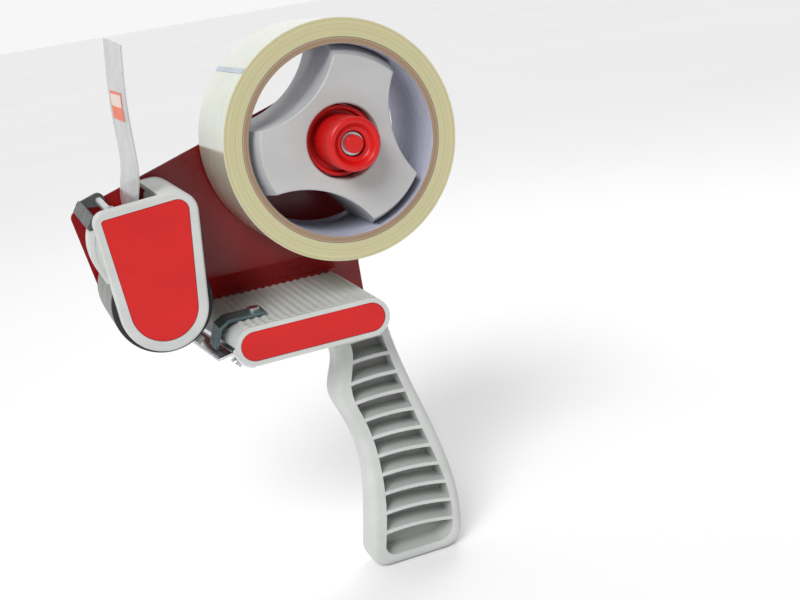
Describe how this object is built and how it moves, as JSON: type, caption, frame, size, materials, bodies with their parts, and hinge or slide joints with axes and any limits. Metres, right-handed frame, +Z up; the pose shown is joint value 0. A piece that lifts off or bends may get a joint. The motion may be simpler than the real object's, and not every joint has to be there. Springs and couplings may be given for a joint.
{
  "type": "hand-held packing tape dispenser",
  "caption": "Pistol-grip dispenser for wide carton tape: a steel side plate carries a braked hub with its roll, a covered roller, a film guide and a serrated cutter on the handle's head.",
  "frame": {"origin": "middle of the pistol grip, where the palm closes round it", "axes": "+Z up along the grip to the roll, -X towards the roller and cutter, +Y towards the steel side plate, along every axle"},
  "size_m": [0.1541, 0.0764, 0.2468],
  "materials": {
    "red_plate": "gloss",
    "red_plastic": "satin",
    "grey_plastic": "matte",
    "hub_plastic": "matte",
    "roller_plastic": "matte",
    "rubber": "matte",
    "steel": "satin",
    "spring_steel": "gloss",
    "brass": "satin",
    "cardboard": "matte",
    "tape": "gloss",
    "film": "gloss",
    "label": "matte"
  },
  "bodies": {
    "frame": {"side_plate": "red_plate", "axle_bolt": "steel", "axle_nut": "steel", "hub_washer": "steel", "brake_washer": "steel", "brake_cup": "red_plastic", "brake_spring": "steel", "spring_keeper": "steel", "axle_cap": "red_plastic", "roller_shaft": "steel", "roller_spacer": "grey_plastic", "shaft_nut": "steel", "roller_cover": "grey_plastic", "cover_panel": "red_plastic", "roller_housing": "grey_plastic", "cross_bar": "grey_plastic", "cover_screws": "steel", "housing_screws": "steel", "flap_pin": "steel", "flap_spring": "spring_steel", "guide_film": "film", "film_label": "label", "film_clamp": "steel", "clamp_screws": "steel", "head_shell": "grey_plastic", "head_panel": "red_plastic", "head_screws": "steel", "blade_bracket": "steel", "blade_rivets": "steel", "blade": "steel", "blade_strap": "spring_steel", "strap_screw": "steel", "guard_bar": "grey_plastic", "grip": "grey_plastic", "grip_screws": "steel"},
    "hub": {"hub": "hub_plastic"},
    "roll": {"tape_core": "cardboard", "tape_winding": "tape"},
    "spring_foot": {"spring_foot": "steel"},
    "knob": {"brake_knob": "red_plastic", "knob_insert": "brass"},
    "roller": {"roller_body": "roller_plastic", "roller_tyres": "rubber"},
    "flap": {"nose_flap": "roller_plastic"}
  },
  "joints": [
    {"name": "hub_spin", "type": "hinge", "parent": "frame", "child": "hub", "pos_m": [-0.0065, 0, 0.13], "axis": [0, 1, 0], "continuous": true},
    {"name": "roll_slide", "type": "slide", "parent": "hub", "child": "roll", "axis": [0, -1, 0], "range_m": [0, 0.055]},
    {"name": "foot_slide", "type": "slide", "parent": "frame", "child": "spring_foot", "axis": [0, -1, 0], "range_m": [0, 0.002], "deforming": ["brake_spring"]},
    {"name": "knob_turn", "type": "hinge", "parent": "spring_foot", "child": "knob", "pos_m": [-0.0065, 0, 0.13], "axis": [0, -1, 0], "range_deg": [0, 720]},
    {"name": "roller_spin", "type": "hinge", "parent": "frame", "child": "roller", "pos_m": [-0.0891, 0, 0.0826], "axis": [0, 1, 0], "continuous": true},
    {"name": "flap_lift", "type": "hinge", "parent": "frame", "child": "flap", "pos_m": [-0.1003, 0, 0.1202], "axis": [0, 1, 0], "range_deg": [0, 40], "stiffness_Nm_per_rad": 0.02, "springref_deg": -17.19, "deforming": ["flap_spring"]}
  ],
  "couplings": [
    {"joint": "knob_turn", "follows": "foot_slide", "rad_per_m": 6283.2}
  ]
}
